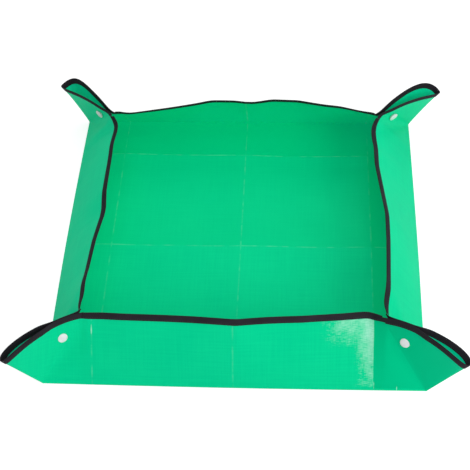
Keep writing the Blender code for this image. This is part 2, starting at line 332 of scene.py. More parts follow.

# Colours of the green sheet: shares of its own colour, one of them the painted shade beyond the front
# wall's right fold, and the whitened colour of what is worn, which also paints the glare on the front wall
DEEP_SHARES = (0.8, 0.90, 0.94)
LIGHT_SHARES = (1.0, 1.10, 1.10)
LIGHT_RED = 0.004
AGED_SHARES = (1.0, 0.93, 0.74)
SHADED_SHARES = (1.0, 0.74, 0.74)
WORN_AND_GLARE_GREEN = (0.60, 0.94, 0.80)
THREAD_TONE = 0.8
CLOUD_TONE = 0.45
TONE_SPAN = (0.2, 0.8)

# Painted glow that stands for light coming through the sheet: its colour, and how it gathers towards the
# walls' feet
PAINTED_GLOW_GREEN = (0.0, 1.0, 0.68)
PAINTED_GLOW_REACH = (0.09, 0.13)
PAINTED_GLOW_LEAST = 0.45

# Light in the sheet and on it
LIGHT_PASSING = 0.2
SHEET_SPECULAR = 0.06
SHEET_SPECULAR_TINT = (0.05, 1.0, 0.6, 1)
SHEET_ROUGHNESS = 0.40
SHEET_ROUGHER = 0.10
PILLOW_RELIEF = 0.25
THREAD_RELIEF = 0.9
SHEET_BUMP = {"distance": 0.00020, "strength": 0.5}

# Worn lines of the pack folds: half width from full to none, and how strong they are
FOLD_LINE = (0.0002, 0.0018)
FOLD_WEAR = 0.08
FOLD_RUB = (0.35, 0.75)

# Whitened nicks at the foot and the rim of the front wall: place and size
SCUFFS = ((0.2005, -0.277, 0.0060), (0.2330, -0.273, 0.0040), (-0.2030, -0.352, 0.0090))
SCUFF_NARROWING = 60
SCUFF_WEAR = 0.75
SCUFF_RUB = (0.25, 0.6)

# Painted glare on the front wall, a pale patch standing in for a highlight, where it ends at the right
# fold; and the painted shade, a darker green, beyond that fold
GLARE = {
    "beside_fold": (0.160, 0.197),
    "beside_fold_fade": (-0.350, -0.280),
    "beside_fold_loss": 0.48,
    "under_rim": (0.100, 0.175),
    "under_rim_fade": (-0.372, -0.300),
    "under_rim_share": 0.78,
    "fold_side": (0.1990, 0.2004),
    "foot_side": (-0.276, -0.272),
    "lift": 0.36,
    "weft": 0.45,
    "warp": 0.25,
    "rub": 0.3,
    "threshold": 0.62,
    "contrast": 0.30,
    "onset": 0.3,
    "strength": 0.62,
}
SHADED_FROM = (0.1990, 0.2010)
SHADED_FOOT = (-0.274, -0.270)
SHADED_STRENGTH = 0.85
FOLD_LINE_END = (0.190, 0.200)

# Binding tape: grain per metre, ribs and stitches, and colours
TAPE_RIB_PITCH = 0.0009
TAPE_FUZZ_GRAIN = (900, 900, 1)
TAPE_PATCH_GRAIN = (26, 60, 1)
TAPE_LIGHT_SHARE = 1.9
SEAM_INSET = 0.0021
THREAD_HALF_WIDTH = (0.0002, 0.00055)
STITCH_BEAT = (-0.75, -0.2)
STITCH_COLOUR = (0.045, 0.042, 0.050)
STITCH_SHARE = 0.6
TAPE_LIGHT_SPAN = (0.3, 0.72)
TAPE_ROUGHNESS = 0.70
TAPE_SPECULAR = 0.22
RIB_RELIEF = 0.3
FUZZ_RELIEF = 0.5
STITCH_RELIEF = 1.6
TAPE_BUMP = {"distance": 0.0003, "strength": 0.8}

# Moulded snaps
SNAP_MOTTLE_GRAIN = 160.0
SNAP_FINE_GRAIN = 1500.0
SNAP_SHADE_SHARE = 0.93
SNAP_MOTTLE_SPAN = (0.3, 0.7)
SNAP_ROUGHNESS = 0.24
SNAP_BUMP = {"distance": 0.00003, "strength": 0.4}


def tinted(colour, shares):
    return tuple(part * share for part, share in zip(colour, shares))


def aged_share(x, y, on_floor):
    """Yellowing of the floor: a step at each fold across y, and the strip beyond the right fold."""
    aged = 0
    for fold, share in zip(PACK_FOLDS[1], YELLOWING):
        aged = aged + y.span(fold - YELLOWING_STEP, fold + YELLOWING_STEP) * share
    right_fold = PACK_FOLDS[0][-1]
    strip = x.span(right_fold - YELLOWING_STEP, right_fold + YELLOWING_STEP)
    aged = aged + strip * (1 - abs(y).span(*FLOOR_END[1])) * STRIP_YELLOWING
    return aged.least(1.0) * on_floor


def fold_wear(x, y, rub, on_floor):
    """Rubbed lines of the pack folds. The right one gives way to the painted glare's edge on the front
    wall.
    """
    beside_glare = 1 - x.span(*FOLD_LINE_END) * (1 - y.span(*SHADED_FOOT))
    pale_share = 0
    for axis, folds, where in zip((x, y), PACK_FOLDS, (beside_glare, on_floor)):
        for fold in folds:
            line = (1 - abs(axis - fold).span(*FOLD_LINE)) * where
            pale_share = line.most(pale_share)
    return pale_share * rub.span(*FOLD_RUB) * FOLD_WEAR


def painted_glare(board, place, x, y, rub):
    """Painted glare: a pale patch painted on the front wall's colour for a highlight, broken up by the
    strips of the weave.
    """
    fine_warp = board.noise(place, FINE_STRIPS_ALONG_Y)
    fine_weft = board.noise(place, FINE_STRIPS_ALONG_X)
    broken = fine_weft * GLARE["weft"] + fine_warp * GLARE["warp"] + rub * GLARE["rub"]
    fade = 1 - y.span(*GLARE["beside_fold_fade"]) * GLARE["beside_fold_loss"]
    beside_fold = x.span(*GLARE["beside_fold"]) * fade
    under_rim = x.span(*GLARE["under_rim"]) * (1 - y.span(*GLARE["under_rim_fade"]))
    glare = beside_fold.most(under_rim * GLARE["under_rim_share"])
    glare = glare * (1 - x.span(*GLARE["fold_side"])) * (1 - y.span(*GLARE["foot_side"]))
    patches = (broken + glare * GLARE["lift"] - GLARE["threshold"]).span(0.0, GLARE["contrast"], False)
    return patches * glare.span(0.0, GLARE["onset"]) * GLARE["strength"]


def scuff_wear(x, y, rub, scuff):
    place_x, place_y, size = scuff
    along, across = y - place_y, x - place_x
    distance = across * across * SCUFF_NARROWING + along * along
    return (1 - distance.span(0, size * size)) * rub.span(*SCUFF_RUB) * SCUFF_WEAR


def painted_glow_colour(board, x, y):
    """Colour of the painted glow that stands for light coming through the walls, stronger towards their
    feet.
    """
    start = FLOOR_HALF - PAINTED_GLOW_REACH
    beside_walls = abs(x).span(start[0], FLOOR_HALF[0])
    before_back = y.span(start[1], FLOOR_HALF[1])
    under = beside_walls.most(before_back) * (1 - PAINTED_GLOW_LEAST) + PAINTED_GLOW_LEAST
    return board.blend_colours(under, (0, 0, 0), PAINTED_GLOW_GREEN)


def woven_green(name, light_depth, painted_glow_strength):
    """Coated woven sheet: pillowed weave, streaks of the strips, pale lines where it was folded, and on the
    front wall a painted glare and a painted shade.

    The light depth is how far light runs in the sheet. The painted glow strength is that of the faint
    painted glow that stands for light from beyond the sheet.
    """
    sheet = bpy.context.scene.mat_sheet
    board = Board(name)
    place, (x, y, _) = board.attribute("sheet_place")
    strips = math.pi / sheet.weave_pitch
    pillow = abs((x * strips).sine()) * abs((y * strips).sine())
    warp = board.noise(place, STRIPS_ALONG_Y)
    weft = board.noise(place, STRIPS_ALONG_X)
    cloud = board.noise(place, CLOUD_GRAIN, 3.0)
    rub = board.noise(place, RUB_GRAIN, 4.0)
    threads = warp * 0.5 + weft * 0.5
    tone = (threads - 0.5) * THREAD_TONE + (cloud - 0.5) * CLOUD_TONE + 0.5
    green = sheet.colour
    light = tinted(green, LIGHT_SHARES)
    light = (light[0] + LIGHT_RED, *light[1:])
    colour = board.blend_colours(tone.span(*TONE_SPAN, False), tinted(green, DEEP_SHARES), light)
    on_floor = 1 - abs(x).span(*FLOOR_END[0])
    colour = board.blend_colours(aged_share(x, y, on_floor), colour, tinted(green, AGED_SHARES))
    # Painted shade: a darker green painted on the front wall beyond its right fold
    shaded = x.span(*SHADED_FROM) * (1 - y.span(*SHADED_FOOT)) * SHADED_STRENGTH
    colour = board.blend_colours(shaded, colour, tinted(green, SHADED_SHARES))
    # Pale marks: worn pack-fold lines and scuffs, and the painted glare, a highlight painted on the front
    # wall
    pale_share = fold_wear(x, y, rub, on_floor).most(painted_glare(board, place, x, y, rub))
    for scuff in SCUFFS:
        pale_share = pale_share.most(scuff_wear(x, y, rub, scuff))
    colour = board.blend_colours(pale_share, colour, WORN_AND_GLARE_GREEN)
    roughness = (1 - pillow) * SHEET_ROUGHER + rub * SHEET_ROUGHER + SHEET_ROUGHNESS
    board.surface(
        base_color=colour,
        roughness=roughness,
        # Painted glow: emission that stands in for light coming through the sheet
        emission_color=painted_glow_colour(board, x, y),
        emission_strength=painted_glow_strength,
        specular_ior_level=SHEET_SPECULAR,
        specular_tint=SHEET_SPECULAR_TINT,
        subsurface_weight=LIGHT_PASSING,
        subsurface_radius=(1.0, 1.0, 1.0),
        subsurface_scale=light_depth,
    )
    board.bump(pillow * PILLOW_RELIEF + threads * THREAD_RELIEF, **SHEET_BUMP)
    return board.material


def woven_black():
    """Binding tape: fine ribs across it and a seam of stitches near its free edges."""
    tape = bpy.context.scene.mat_tape
    board = Board("woven_black_tape")
    place, (along, across, _) = board.attribute("tape_place")
    ribs = (along * (math.tau / TAPE_RIB_PITCH)).sine() * 0.5 + 0.5
    fuzz = board.noise(place, TAPE_FUZZ_GRAIN, 3.0)
    patch = board.noise(place, TAPE_PATCH_GRAIN)
    seam = 1 - abs(abs(across) - (tape.width - SEAM_INSET)).span(*THREAD_HALF_WIDTH)
    beat = (along * (math.tau / tape.stitch_pitch)).sine()
    stitch = seam * beat.span(*STITCH_BEAT)
    light = tinted(tape.colour, (TAPE_LIGHT_SHARE,) * 3)
    pale_share = (patch * 0.6 + fuzz * 0.4).span(*TAPE_LIGHT_SPAN)
    colour = board.blend_colours(pale_share, tape.colour, light)
    colour = board.blend_colours(stitch * STITCH_SHARE, colour, STITCH_COLOUR)
    roughness = fuzz * 0.2 + TAPE_ROUGHNESS
    board.surface(base_color=colour, roughness=roughness, specular_ior_level=TAPE_SPECULAR)
    board.bump(ribs * RIB_RELIEF + fuzz * FUZZ_RELIEF + stitch * STITCH_RELIEF, **TAPE_BUMP)
    return board.material


def moulded_white():
    """Moulded snap plastic, faintly mottled, with a soft gloss."""
    white = bpy.context.scene.mat_snap.colour
    board = Board("moulded_white_snap")
    place = board.node("ShaderNodeTexCoord", {}, (), "Object")
    mottle = board.noise(place, SNAP_MOTTLE_GRAIN, 3.0)
    grain = board.noise(place, SNAP_FINE_GRAIN)
    shade = tinted(white, (SNAP_SHADE_SHARE,) * 3)
    colour = board.blend_colours(mottle.span(*SNAP_MOTTLE_SPAN), shade, tuple(white))
    board.surface(base_color=colour, roughness=mottle * 0.14 + SNAP_ROUGHNESS)
    board.bump(grain, **SNAP_BUMP)
    return board.material


def turned_about(joint):
    """Matrix that takes a point of the flat sheet, or of the open child, back to rest."""
    place = Vector(joint["pos_m"])
    turn = Matrix.Rotation(-math.radians(joint["range_deg"][1]), 4, Vector(joint["axis"]))
    return Matrix.Translation(place) @ turn @ Matrix.Translation(-place)


def smooth_share(values):
    clipped = np.clip(values, 0.0, 1.0)
    return clipped * clipped * (3 - 2 * clipped)


class Panel:
    """One panel of the sheet: its grid on the flat sheet and its folded places at rest."""

    def __init__(self, name, joint, fold, layout, relief, drop=0.0, down=(0, 0)):
        self.name = name
        self.joint = joint
        self.fold = fold
        self.layout = layout
        turn = fold.to_3x3()
        self.outward = (turn @ -UP).normalized()
        slide = np.array(turn @ Vector((*down, 0)))
        self.places = self.lay(layout) + relief[..., None] * np.array(self.outward)
        self.places = self.places + np.broadcast_to(drop, relief.shape)[..., None] * slide

    def lay(self, layout):
        """Folds places of the flat sheet to rest."""
        level = np.full(layout.shape[:-1] + (1,), HALF_THICKNESS)
        one = np.ones_like(level)
        return (np.concatenate([layout, level, one], axis=-1) @ np.array(self.fold).T)[..., :3]


def grid_normals(places):
    """Normals of a grid of points, facing the way that rows cross columns."""
    along = np.gradient(places, axis=1)
    up = np.gradient(places, axis=0)
    normals = np.cross(along, up)
    length = np.linalg.norm(normals, axis=-1, keepdims=True)
    return normals / np.maximum(length, TINY)


def grid_faces(rows, columns, start, flipped):
    index = start + np.arange(rows * columns).reshape(rows, columns)
    ring = [index[:-1, :-1], index[:-1, 1:], index[1:, 1:], index[1:, :-1]]
    quads = np.stack(ring, axis=-1).reshape(-1, 4)
    return quads[:, ::-1] if flipped else quads


def border(rows, columns):
    """Walks once round the border of a grid."""
    index = np.arange(rows * columns).reshape(rows, columns)
    return np.concatenate([index[0, :-1], index[:-1, -1], index[-1, :0:-1], index[:0:-1, 0]])


SHARP_FROM = math.radians(50)


def make_mesh(name, points, faces, attribute, values, surface):
    """Makes a smooth mesh with one vector stored at each point."""
    mesh = bpy.data.meshes.new(name)
    mesh.from_pydata(points.tolist(), [], faces)
    layer = mesh.attributes.new(attribute, "FLOAT_VECTOR", "POINT")
    layer.data.foreach_set("vector", values.astype(np.float32).ravel())
    mesh.shade_smooth()
    mesh.set_sharp_from_angle(angle=SHARP_FROM)
    mesh.materials.append(surface)
    made = bpy.data.objects.new(name, mesh)
    bpy.context.scene.collection.objects.link(made)
    return made


def make_plate(name, places, layout, surface):
    """Closed plate of the sheet's thickness round a grid of mid-surface points."""
    rows, columns = places.shape[:2]
    lift = grid_normals(places) * HALF_THICKNESS
    points = np.concatenate([(places + lift).reshape(-1, 3), (places - lift).reshape(-1, 3)])
    count = rows * columns
    ring = border(rows, columns)
    following = np.roll(ring, -1)
    sides = np.stack([ring, ring + count, following + count, following], axis=-1)
    upper = grid_faces(rows, columns, 0, False)
    lower = grid_faces(rows, columns, count, True)
    faces = np.concatenate([upper, lower, sides]).tolist()
    flat = np.concatenate([layout, np.zeros(layout.shape[:-1] + (1,))], axis=-1).reshape(-1, 3)
    return make_mesh(name, points, faces, "sheet_place", np.concatenate([flat, flat]), surface)


def flat_area(layout):
    """Area of a grid on the flat sheet."""
    first = layout[1:, 1:] - layout[:-1, :-1]
    second = layout[1:, :-1] - layout[:-1, 1:]
    return float(np.abs(first[..., 0] * second[..., 1] - first[..., 1] * second[..., 0]).sum() / 2)


def noise_waves(seed, count, longest, shortest):
    """A few sine waves over the flat sheet, the same at each run: (wave vector, phase, height share)."""
    chance = np.random.default_rng(seed)
    waves = []
    for _ in range(count):
        length = chance.uniform(shortest, longest)
        bearing = chance.uniform(0, math.tau)
        vector = np.array([math.cos(bearing), math.sin(bearing)]) * math.tau / length
        waves.append((vector, chance.uniform(0, math.tau), length / longest))
    return waves


def waved(layout, waves):
    total = sum(share * np.sin(layout @ vector + phase) for vector, phase, share in waves)
    return total / math.sqrt(len(waves))


def pack_relief(layout, axis, reach):
    """Low ridge along each old pack fold that crosses an axis, 1 at the fold and 0 at the reach."""
    coordinate = layout[..., axis]
    height = np.zeros_like(coordinate)
    for fold in PACK_FOLDS[axis]:
        height += np.maximum(0.0, 1 - np.abs(coordinate - fold) / reach)
    return height


class Corner:
    """Layout on the flat sheet of a corner's ear: two layers that meet on its outer fold."""

    def __init__(self, end, side):
        self.label = end + "_" + side
        self.sign = np.array([OUTWARD[side].x, OUTWARD[end].y])
        self.foot_corner = self.sign * FLOOR_HALF
        self.layers = {}
        directions = []
        for kind, wall in (("side", side), ("end", end)):
            joint = joints[f"{self.label}_ear_{kind}_unfold"]
            wall_fold = turned_about(joints[wall + "_wall_unfold"])
            foot = np.array(wall_fold.inverted() @ Vector(joint["pos_m"]))[:2]
            crease = np.array(wall_fold.inverted().to_3x3() @ Vector(joint["axis"]))[:2]
            outward = np.array(OUTWARD[wall])[:2]
            crease = crease * np.sign(crease @ outward)
            crease = crease / np.linalg.norm(crease)
            reach = (SHEET_EDGE[wall] - foot @ outward) / (crease @ outward)
            top = foot + crease * reach
            fold = turned_about(joint) @ wall_fold
            self.layers[kind] = {"foot": foot, "top": top, "outward": outward, "fold": fold}
            directions.append(crease)
        bearing = directions[0] + directions[1]
        bearing = bearing / np.linalg.norm(bearing)
        self.turn_centre = self.sign * (np.array([SHEET_EDGE[side], SHEET_EDGE[end]]) - CORNER_RADIUS)
        from_centre = self.foot_corner - self.turn_centre
        middle = from_centre @ bearing
        reach = -middle + math.sqrt(middle ** 2 - from_centre @ from_centre + CORNER_RADIUS ** 2)
        self.tip = self.foot_corner + bearing * reach

    def edge(self, kind, across):
        """Free edge of a layer, from the crease (0) to the outer fold (1)."""
        layer = self.layers[kind]
        outward = layer["outward"]
        beside = self.sign - outward
        start = layer["top"] @ beside
        centre_out = self.turn_centre @ outward
        centre_along = self.turn_centre @ beside
        straight = centre_along - start
        arm = (self.tip - self.turn_centre) / CORNER_RADIUS
        turn = math.atan2(arm @ beside, arm @ outward)
        total = straight + CORNER_RADIUS * turn
        travelled = across * total
        angle = np.maximum(travelled - straight, 0) / CORNER_RADIUS
        out = centre_out + CORNER_RADIUS * np.cos(angle)
        round_part = centre_along + CORNER_RADIUS * np.sin(angle)
        along = np.where(travelled > straight, round_part, start + travelled)
        return out[..., None] * outward + along[..., None] * beside

    def layout(self, kind, climb, across):
        """Grid of a layer: climb from the floor corner to the free edge, across from crease to fold."""
        layer = self.layers[kind]
        base = layer["foot"] + (self.foot_corner - layer["foot"]) * across[None, :, None]
        top = self.edge(kind, across)[None]
        return base + (top - base) * climb[:, None, None]


corners = {corner: Corner(*corner) for corner in CORNERS}


def ears_beside(name):
    """Corners at a wall's two ends, each with the kind of its ear layer that grows from the wall."""
    return [(corners[both], "end" if both[0] == name else "side") for both in CORNERS if name in both]


def wall_layout(name, climb, across):
    """Grid of a wall between its two ear creases."""
    ends = [made.layers[kind] for made, kind in ears_beside(name)]
    run = np.array(UP.cross(OUTWARD[name]))[:2]
    ends.sort(key=lambda layer: layer["foot"] @ run)
    first, last = (layer["foot"] + (layer["top"] - layer["foot"]) * climb[:, None] for layer in ends)
    return first[:, None] + (last - first)[:, None] * across[None, :, None]


# Walls: at places along each rim, how far it stands out from a straight line and rises beyond its width
WALL_BELLY = 0.004
RIM_BOW = {
    "left": (
        (-0.203, 0.0), (-0.185, 0.0065), (-0.165, 0.0035), (-0.121, -0.0025), (-0.061, -0.0065),
        (-0.030, -0.0095), (0.005, -0.0135), (0.040, -0.0115), (0.117, -0.0105), (0.174, -0.009),
        (0.190, -0.008), (0.206, 0.0),
    ),
    "right": (
        (-0.203, 0.0), (-0.189, 0.0045), (-0.142, 0.004), (-0.059, 0.006), (-0.009, 0.008),
        (0.040, -0.0005), (0.102, -0.0085), (0.155, -0.009), (0.177, -0.0065), (0.191, -0.0045),
        (0.206, 0.0),
    ),
    "front": (
        (-0.219, 0.0), (-0.209, 0.003), (-0.183, 0.002), (-0.053, 0.011), (0.004, 0.020), (0.050, 0.008),
        (0.095, -0.0005), (0.195, -0.014), (0.216, 0.0),
    ),
    "back": (
        (-0.219, 0.0), (-0.206, 0.0045), (-0.190, 0.0035), (-0.156, 0.005), (-0.078, 0.017),
        (-0.058, 0.021), (-0.017, 0.023), (0.015, 0.0215), (0.042, 0.025), (0.086, 0.0235),
        (0.131, 0.0155), (0.188, 0.009), (0.204, 0.006), (0.216, 0.0),
    ),
}
RIM_RISE = {"front": ((0.095, 0.0), (0.190, 0.005), (0.216, 0.0))}
FOOT_BOW = {"left": 0.003, "right": 0.002, "front": 0.0015, "back": 0.0}
RIM_BLEND = 0.010
RIM_SAMPLES = 400
WALL_SPAN = 0.55
WALL_CLIMB = 0.105
WALL_RIPPLES = 6
WALL_RIPPLE_LENGTHS = (0.30, 0.07)
RIPPLE_FREE_END = 0.12
WALL_FOLD_DENT = 0.0022
WALL_FOLD_REACH = 0.05

# Reach over which a crease beside an ear is rounded, on each of the panels that meet there
PINCH_ROUNDING = {"wall": 0.060, "side": 0.028, "end": 0.042}
LEAST_ROUNDING = 0.001


def along_rim(stations, places):
    """Reads a profile at places along a rim, with its kinks softened."""
    stations = np.array(stations)
    fine = np.linspace(stations[0, 0], stations[-1, 0], RIM_SAMPLES)
    raw = np.interp(fine, stations[:, 0], stations[:, 1])
    reach = max(1, int(RIM_BLEND / (fine[1] - fine[0])))
    window = np.hanning(2 * reach + 3)[1:-1]
    soft = np.convolve(np.pad(raw, reach, mode="edge"), window / window.sum(), mode="valid")
    ends = smooth_share(np.minimum(fine - fine[0], fine[-1] - fine) / (2 * RIM_BLEND))
    return np.interp(places, fine, raw + (soft - raw) * ends)


def crease_rounding(made, kind, panel_kind, layout, height):
    """Relief that lets a panel cross an ear's crease smoothly: none at its foot, most at the rim."""
    layer = made.layers[kind]
    along = layer["top"] - layer["foot"]
    along = along / np.linalg.norm(along)
    offset = layout - layer["foot"]
    distance = np.abs(offset[..., 0] * along[1] - offset[..., 1] * along[0])
    reach = np.maximum(PINCH_ROUNDING[panel_kind] * np.sqrt(height), LEAST_ROUNDING)
    left = np.clip(1 - distance / reach, 0, 1)
    angle = math.radians(joints[f"{made.label}_ear_{kind}_unfold"]["range_deg"][1])
    return math.tan(angle / 2) * distance * left ** 3


def wall_panel(name):
    sheet = bpy.context.scene.mat_sheet
    climb = np.linspace(0, 1, int(WALL_CLIMB / sheet.face_length) + 1)
    across = np.linspace(0, 1, int(WALL_SPAN / sheet.face_length) + 1)
    layout = wall_layout(name, climb, across)
    height = climb[:, None]
    middle = np.sin(math.pi * across)[None]
    run = 0 if name in ("front", "back") else 1
    bow = along_rim(RIM_BOW[name], layout[..., run])
    width = WALL_HEIGHT / math.sin(wall_fold_angle(name))
    drop = width * height * (1 - np.cos(np.arcsin(bow / width)))
    if name in RIM_RISE:
        drop = drop - height * along_rim(RIM_RISE[name], layout[..., run])
    relief = WALL_BELLY * np.sin(math.pi * height) * middle ** 2 + bow * height
    inner = smooth_share(np.minimum(across, 1 - across)[None] / RIPPLE_FREE_END) * height
    waves = noise_waves(len(name), WALL_RIPPLES, *WALL_RIPPLE_LENGTHS)
    relief = relief + sheet.ripple_depth * inner * waved(layout, waves)
    relief = relief - WALL_FOLD_DENT * inner * pack_relief(layout, run, WALL_FOLD_REACH)
    for made, kind in ears_beside(name):
        relief = relief - crease_rounding(made, kind, "wall", layout, height)
    hinge = name + "_wall_unfold"
    down = tuple(-OUTWARD[name])[:2]
    panel = Panel(name + "_wall", hinge, turned_about(joints[hinge]), layout, relief, drop, down)
    foot_bow = FOOT_BOW[name] * middle * (1 - height)
    panel.places = panel.places + foot_bow[..., None] * np.array(OUTWARD[name])
    return panel


# Ears: how far the side and end layers swell from the middle, how late on the way to the tip the swell of
# each comes, and how far both hang to one side midway
EAR_SHAPES = {
    ("front", "left"): ((0.0085, 0.0060), (2.2, 2.2), 0.0042),
    ("front", "right"): ((0.0110, 0.0110), (2.2, 2.2), 0.0048),
    ("back", "left"): ((0.0070, 0.0170), (1.6, 1.9), 0.0),
    ("back", "right"): ((0.0060, 0.0170), (1.6, 1.55), 0.0018),
}
SAG_LEAN = 0.8
NEAR_FLARE = 2.6
FAR_FLARE = 1.6
TIP_ROUNDING = 0.36
EAR_COLUMNS = 45
EAR_ROWS = 31
TIP_CROWDING = 1.6
FOOT_CROWDING = 0.9
MEETING_SHARPNESS = 12

# Ears: the layers stay close together round the snap and, at the rim, from the crease to where they open
SNAP_ZONE_END = 0.27
SNAP_ZONE_TOP = 0.72
CLOSED_GAP = 0.0021
CLOSED_START = 0.16
CLOSED_REACH = {"front": 0.50, "back": 0.12}
CLOSED_FADE = 0.2


def ear_panels(corner):
    """Both layers of an ear, joined on the outer fold."""
    made = corners[corner]
    openings, peaks, sag = EAR_SHAPES[corner]
    across = 1 - (1 - np.linspace(0, 1, EAR_COLUMNS)) ** TIP_CROWDING
    climb = np.linspace(0, 1, EAR_ROWS) ** FOOT_CROWDING
    height = climb[:, None]
    beyond = smooth_share((across - SNAP_ZONE_END) / SNAP_ZONE_END)[None]
    above = smooth_share((height - SNAP_ZONE_TOP) / (1 - SNAP_ZONE_TOP))
    hang = np.sin(math.pi * across ** SAG_LEAN)[None] * height ** 2
    panels = []
    for kind, opening, peak in zip(("side", "end"), openings, peaks):
        layout = made.layout(kind, climb, across)
        swell = across ** peak * (1 - across) ** TIP_ROUNDING
        swell = swell[None] / swell.max()
        near = (kind == "end") == (corner[0] == "front")
        rise = beyond * height ** (NEAR_FLARE if near else FAR_FLARE) + (1 - beyond) * above
        relief = opening * swell * rise + (sag if kind == "end" else -sag) * hang
        relief = relief - crease_rounding(made, kind, kind, layout, height)
        name = f"{made.label}_ear_{kind}"
        panels.append(Panel(name, name + "_unfold", made.layers[kind]["fold"], layout, relief))
    side, end = panels
    meeting = (side.places[:, -1] + end.places[:, -1]) / 2
    for panel in panels:
        shift = meeting - panel.places[:, -1]
        panel.places = panel.places + shift[:, None] * across[None, :, None] ** MEETING_SHARPNESS
    apart = end.places[-1] - side.places[-1]
    gap = np.linalg.norm(apart, axis=-1, keepdims=True)
    toward = apart / np.maximum(gap, TINY) * np.maximum(gap - CLOSED_GAP, 0) / 2
    closed = smooth_share(across / CLOSED_START)
    closed = closed * smooth_share((CLOSED_REACH[corner[0]] - across) / CLOSED_FADE)
    pull = toward[None] * closed[None, :, None] * above[..., None]
    side.places = side.places + pull
    end.places = end.places - pull
    return panels


# How far a piece's anchor is set above its panel's first point
FLAT_LIFT = 0.0009


def ride_panel(panel, made, node):
    """Ties a piece to its panel's body and hides the imported part that it stands in for."""
    anchor = panel.lay(panel.layout[:1, :1])[0, 0] - np.array(panel.outward) * FLAT_LIFT
    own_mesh(made)
    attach(made, panel.name)
    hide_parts(node)


# How far light runs in the sheet, and how strongly its painted glow shines, on the walls and on the floor
WALL_LIGHT_DEPTH = 0.006
WALL_GLOW = 0.07
FLOOR_LIGHT_DEPTH = 0.0008
FLOOR_GLOW = 0.12


def green_named(name, light_depth, glow):
    return bpy.data.materials.get(name) or woven_green(name, light_depth, glow)


def make_panel_sheet(panel):
    """Makes the sheet of a wall or of an ear layer."""
    green = green_named("woven_green_sheet", WALL_LIGHT_DEPTH, WALL_GLOW)
    made = make_plate(panel.name + "_sheet", panel.places, panel.layout, green)
    ride_panel(panel, made, panel.name + "_panel")
    places = panel.layout.reshape(-1, 2)
    size = places.max(axis=0) - places.min(axis=0)
    flat_area(panel.layout)


# Floor: flat margin beside its folds, width of the pack folds' ridges, and its unevenness
FLOOR_MARGIN = 0.045
FLOOR_FOLD_REACH = 0.06
FLOOR_UNEVENNESS = 0.0012
FLOOR_WAVES = 8
FLOOR_WAVE_LENGTHS = (0.35, 0.1)
FLOOR_SEED = 11


class MAT_OT_lay_floor(bpy.types.Operator):
    """Lays the floor of the tray with its old pack folds"""

    bl_idname = "repotting_mat.lay_floor"
    bl_label = "Lay floor"

    def execute(self, context):
        sheet = context.scene.mat_sheet
        half = FLOOR_HALF
        count = int(2 * half[0] / sheet.face_length)
        x = np.linspace(-half[0], half[0], count + 1)
        y = np.linspace(-half[1], half[1], count + 1)
        layout = np.stack(np.meshgrid(x, y), axis=-1)
        edge = np.minimum(half[0] - np.abs(layout[..., 0]), half[1] - np.abs(layout[..., 1]))
        height = sheet.fold_depth * sum(pack_relief(layout, axis, FLOOR_FOLD_REACH) for axis in (0, 1))
        waves = noise_waves(FLOOR_SEED, FLOOR_WAVES, *FLOOR_WAVE_LENGTHS)
        height = height + FLOOR_UNEVENNESS * (1 + waved(layout, waves))
        height = np.maximum(height, 0) * smooth_share(edge / FLOOR_MARGIN)
        places = np.concatenate([layout, (HALF_THICKNESS + height)[..., None]], axis=-1)
        for name, bow in FOOT_BOW.items():
            axis = 0 if OUTWARD[name].x else 1
            sign = OUTWARD[name][axis]
            near_edge = smooth_share((layout[..., axis] * sign - half[axis] / 2) / (half[axis] / 2))
            along = layout[..., 1 - axis] / (2 * half[1 - axis]) + 0.5
            places[..., axis] += sign * bow * near_edge * np.sin(math.pi * along)
        green = green_named("woven_green_floor", FLOOR_LIGHT_DEPTH, FLOOR_GLOW)
        made = make_plate("floor_sheet", places, layout, green)
        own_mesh(made)
        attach(made, "floor")
        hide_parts("floor_panel")
        return {"FINISHED"}


class MAT_OT_fold_walls(bpy.types.Operator):
    """Folds up the four walls"""

    bl_idname = "repotting_mat.fold_walls"
    bl_label = "Fold walls"

    def execute(self, context):
        for name in OUTWARD:
            make_panel_sheet(wall_panel(name))
        return {"FINISHED"}


class MAT_OT_pinch_ears(bpy.types.Operator):
    """Pinches the four corners into doubled ears"""

    bl_idname = "repotting_mat.pinch_ears"
    bl_label = "Pinch ears"

    def execute(self, context):
        for corner in CORNERS:
            for panel in ear_panels(corner):
                make_panel_sheet(panel)
        return {"FINISHED"}


# Where two lengths of tape meet at a crease: slant that both take there, and the reach over which they do
MITRE_SLANT = 0.93
MITRE_REACH = 0.02
LEAST_SLANT = 0.3

# Section of the folded tape: gap to the sheet, steps round its fold, and how it swells between the stitches
TAPE_GAP = 0.00008
TAPE_TURN_STEPS = 7
TAPE_SHARES = (1.0, 0.96, 0.75, 0.5, 0.25)
TAPE_SWELL = (1.0, 1.25, 1.05, 1.15, 1.1)


def tape_section(width, thickness):
    """Closed outline of the folded tape: (inward from the sheet's edge, off the sheet)."""
    slot = HALF_THICKNESS + TAPE_GAP
    outer = slot + thickness
    steps = np.linspace(-math.pi / 2, math.pi / 2, TAPE_TURN_STEPS)
    inner_turn = [(-slot * math.cos(turn), slot * math.sin(turn)) for turn in steps]
    outer_turn = [(-outer * math.cos(turn), outer * math.sin(turn)) for turn in steps[::-1]]
    inner = [(width * share, slot) for share in TAPE_SHARES]
    over = [(width * share, slot + thickness * swell) for share, swell in zip(TAPE_SHARES, TAPE_SWELL)]
    lower = [(inward, -lift) for inward, lift in inner]
    under = [(inward, -lift) for inward, lift in over[::-1]]
    return np.array(lower + inner_turn + inner[::-1] + over + outer_turn + under)


def unit_rows(vectors):
    return vectors / np.linalg.norm(vectors, axis=-1, keepdims=True)


def read_down(reach, depth, rows):
    """Reads a column of points or normals at a depth below the edge."""
    return np.array([np.interp(reach, depth[::-1], rows[::-1, axis]) for axis in range(3)])


